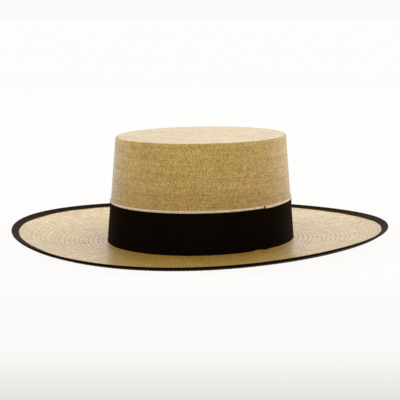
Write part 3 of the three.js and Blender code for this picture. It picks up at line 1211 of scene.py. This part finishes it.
class CORDOBES_OT_piping(bpy.types.Operator):
    """Lays the narrow cream tape along the upper edge of the band"""

    bl_idname = "cordobes.piping"
    bl_label = "Band Piping"

    def execute(self, context):
        block, straw, look = hat_settings(context)
        bottom, top = lowered_edges(PIPING_BOX, PIPING_LOWER)
        rise = np.linspace(0, 1, PIPING_ROWS)
        heights = list(bottom + (top - bottom) * rise)
        profile = look.piping_bulge * np.sin(math.pi * rise).clip(0) ** 0.6
        off = straw.thickness / 2 + straw.relief + PIPING_OFF
        start = look.lap_angle + HALF_GAP
        turns = np.linspace(start, look.lap_angle + FULL_TURN - HALF_GAP, PIPING_COLUMNS)
        path = [(turn, off, sunk_start(turn, start, look.sunk), 0) for turn in turns]
        piece, points = wall_strip("cream_piping", block, look, path, heights, profile)
        self.widen_start(points, look, bottom)
        stand_strip(piece, points, block, look.tape)
        material = ribbon_material(
            "piping", look, look.cream, groove_shade=0.15, rib_depth=0.05 * MM, gloss=0.3
        )
        finish_piece(piece, material, "band_piping", math.radians(60))
        return {"FINISHED"}

    def widen_start(self, points, look, bottom):
        """The tape shows wider just past the lap and narrows from there."""
        _, turn = polar(points)
        past = np.clip((turn - look.lap_angle) % FULL_TURN / look.flare_reach, 0, 1)
        extra = look.piping_flare * (1 - past) ** 1.3
        points[:, 2] = bottom + (points[:, 2] - bottom) * (1 + extra)


# ----------------------------------------------------------------------------- stage


UNDER_HAT_GLOW = (0.95, 0.945, 0.93, 1)
FRONT_GLOW, FRONT_FROM = (0.925, 0.915, 0.90, 1), (0.20, 0.30)  # metres towards the camera
NEAREST_GLOW, NEAREST_FROM = (0.68, 0.66, 0.61, 1), (0.42, 0.62)
FAR_GLOW, FAR_FROM = (0.955, 0.95, 0.955, 1), (0.5, 4.0)  # metres from the hat's axis
KEY_TURN, SIDE_TURN = math.radians(6), math.radians(50)  # before straight behind the hat
SENSOR_WIDTH = 36  # of the camera, in millimetres


class CORDOBES_OT_stage(bpy.types.Operator):
    """Sets the pale floor, the soft light and the camera"""

    bl_idname = "cordobes.stage"
    bl_label = "Stage"

    def execute(self, context):
        look = context.scene.stage_look
        self.add_floor(look)
        self.add_surroundings(context.scene, look)
        key_away, side_away = look.camera_azimuth - KEY_TURN, look.camera_azimuth - SIDE_TURN
        self.add_lamp("key", look.key, size=1.8, away=key_away, reach=1.6, height=1.4)
        side = self.add_lamp("side", look.side, size=0.6, away=side_away, reach=1.5, height=0.15)
        side.visible_glossy = False
        self.add_camera(context.scene, look)
        context.scene.view_settings.view_transform = "Standard"
        return {"FINISHED"}

    def add_floor(self, look):
        """A round white floor that glows by itself, and is greyer towards the camera."""
        bpy.ops.object.select_all(action="DESELECT")
        bpy.ops.mesh.primitive_circle_add(
            vertices=96, radius=look.floor_radius, fill_type="NGON", location=(0, 0, 0)
        )
        floor = bpy.context.object
        floor.name = "floor"
        material, n, shader = new_material("pale_floor")
        place = n.place()
        reach = n.add("ShaderNodeVectorMath", {0: place}, out="Value", operation="LENGTH")
        ahead = (math.sin(look.camera_azimuth), -math.cos(look.camera_azimuth), 0)
        towards = n.add(
            "ShaderNodeVectorMath", {0: place, 1: ahead}, out="Value", operation="DOT_PRODUCT"
        )
        glow = n.blend(n.ramp(towards, *FRONT_FROM), UNDER_HAT_GLOW, FRONT_GLOW)
        glow = n.blend(n.ramp(towards, *NEAREST_FROM), glow, NEAREST_GLOW)
        n.fill(shader, {
            "Base Color": (0.03, 0.03, 0.03, 1),
            "Roughness": 0.9,
            "Specular IOR Level": 0.0,
            "Emission Color": n.blend(n.ramp(reach, *FAR_FROM), glow, FAR_GLOW),
            "Emission Strength": 1.0,
        })
        floor.data.materials.append(material)

    def add_surroundings(self, scene, look):
        """Soft white light from all sides."""
        world = bpy.data.worlds.new("white_surroundings")
        world.use_nodes = True
        sky = world.node_tree.nodes["Background"]
        sky.inputs["Color"].default_value = (1.0, 0.995, 1.0, 1)
        sky.inputs["Strength"].default_value = look.ambient
        scene.world = world

    def add_lamp(self, name, watts, size, away, reach, height):
        """A round lamp that faces the hat. away is its turn from straight behind the hat."""
        light = bpy.data.lights.new(name, "AREA")
        light.shape = "DISK"
        light.size = size
        light.energy = watts
        lamp = bpy.data.objects.new(name, light)
        lamp.visible_camera = False
        lamp.location = (-math.sin(away) * reach, math.cos(away) * reach, height)
        lamp.rotation_euler = (-Vector(lamp.location)).to_track_quat("-Z", "Y").to_euler()
        bpy.context.scene.collection.objects.link(lamp)
        return lamp

    def add_camera(self, scene, look):
        """A long lens a little above the brim, round from the front of the hat."""
        lens = bpy.data.cameras.new("camera")
        lens.lens = look.focal
        lens.sensor_width = SENSOR_WIDTH
        camera = bpy.data.objects.new("camera", lens)
        side, ahead = math.sin(look.camera_azimuth), math.cos(look.camera_azimuth)
        camera.location = (
            look.camera_distance * side, -look.camera_distance * ahead, look.camera_height
        )
        aim = Vector((-ahead * look.aim_aside, -side * look.aim_aside, look.aim_height))
        camera.rotation_euler = (aim - camera.location).to_track_quat("-Z", "Y").to_euler()
        scene.collection.objects.link(camera)
        scene.camera = camera


# ------------------------------------------------------------------------------ panel


OPERATORS = (
    CORDOBES_OT_straw,
    CORDOBES_OT_binding,
    CORDOBES_OT_binding_stitches,
    CORDOBES_OT_band,
    CORDOBES_OT_piping,
    CORDOBES_OT_stage,
)
GROUPS = {
    "hat_block": HatBlock,
    "straw_look": StrawLook,
    "ribbon_look": RibbonLook,
    "stage_look": StageLook,
}


class CORDOBES_PT_hat(bpy.types.Panel):
    """Lists the sizes, the colours and the pieces of the hat"""

    bl_idname = "CORDOBES_PT_hat"
    bl_label = "Cordobes Hat"
    bl_space_type = "VIEW_3D"
    bl_region_type = "UI"
    bl_category = "Hat"

    def draw(self, context):
        for name in GROUPS:
            box = self.layout.box()
            group = getattr(context.scene, name)
            for prop in group.bl_rna.properties:
                if not prop.is_readonly and prop.identifier != "name":
                    box.prop(group, prop.identifier)
        for operator in OPERATORS:
            self.layout.operator(operator.bl_idname)


def register():
    """Registers the classes and hangs the property groups on the scene."""
    for group in GROUPS.values():
        bpy.utils.register_class(group)
    for operator in OPERATORS:
        bpy.utils.register_class(operator)
    bpy.utils.register_class(CORDOBES_PT_hat)
    for name, group in GROUPS.items():
        setattr(bpy.types.Scene, name, bpy.props.PointerProperty(type=group))


def unregister():
    """Takes everything that register() added away again."""
    for name in GROUPS:
        delattr(bpy.types.Scene, name)
    bpy.utils.unregister_class(CORDOBES_PT_hat)
    for operator in reversed(OPERATORS):
        bpy.utils.unregister_class(operator)
    for group in reversed(GROUPS.values()):
        bpy.utils.unregister_class(group)


def main():
    """Builds every piece in order."""
    register()
    bpy.ops.cordobes.straw()
    bpy.ops.cordobes.binding()
    bpy.ops.cordobes.binding_stitches()
    bpy.ops.cordobes.band()
    bpy.ops.cordobes.piping()
    bpy.ops.cordobes.stage()


if __name__ == "__main__":
    main()
